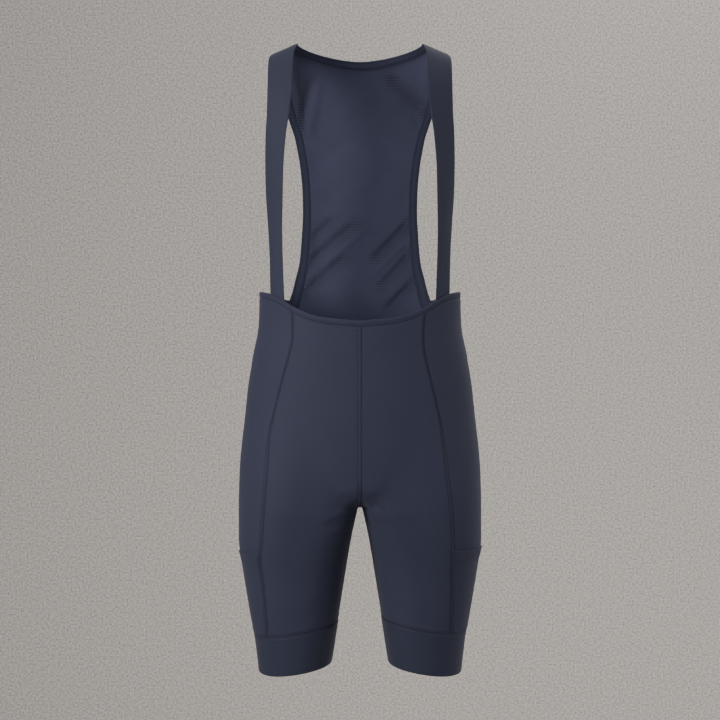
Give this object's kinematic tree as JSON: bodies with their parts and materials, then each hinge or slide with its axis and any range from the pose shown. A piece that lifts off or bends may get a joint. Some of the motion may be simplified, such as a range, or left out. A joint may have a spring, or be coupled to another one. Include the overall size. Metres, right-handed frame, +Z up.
{
  "type": "cycling bib shorts",
  "caption": "Stretch bib shorts in worn shape with flat shoulder straps, a mesh back, thigh pockets, leg grippers and a seat pad.",
  "frame": {"origin": "midway between the two straps on top of the shoulders, where the wearer's shoulders carry the garment", "axes": "+Z up, the front faces -Y, +X to the right as seen from the front"},
  "size_m": [0.3454, 0.231, 0.894],
  "materials": {
    "lycra": "matt knitted stretch fabric with a faint sheen, dark navy",
    "gripper": "smooth matt stretch band, dark navy",
    "elastic": "matt stitched stretch binding, dark navy",
    "webbing": "matt woven elastic, dark navy",
    "mesh": "ribbed fine knitted mesh, dark navy",
    "foam": "brushed fabric over foam, dark navy"
  },
  "bodies": {
    "root": {"front_panel_left": "lycra", "side_panel_left": "lycra", "seat_panel_left": "lycra", "pocket_left": "lycra", "cuff_left": "gripper", "armhole_binding_left": "elastic", "strap_left": "webbing", "front_panel_right": "lycra", "side_panel_right": "lycra", "seat_panel_right": "lycra", "pocket_right": "lycra", "cuff_right": "gripper", "armhole_binding_right": "elastic", "strap_right": "webbing", "waist_binding": "elastic", "back_mesh_panel": "mesh", "neck_binding": "elastic", "chamois_pad": "foam"}
  },
  "joints": []
}
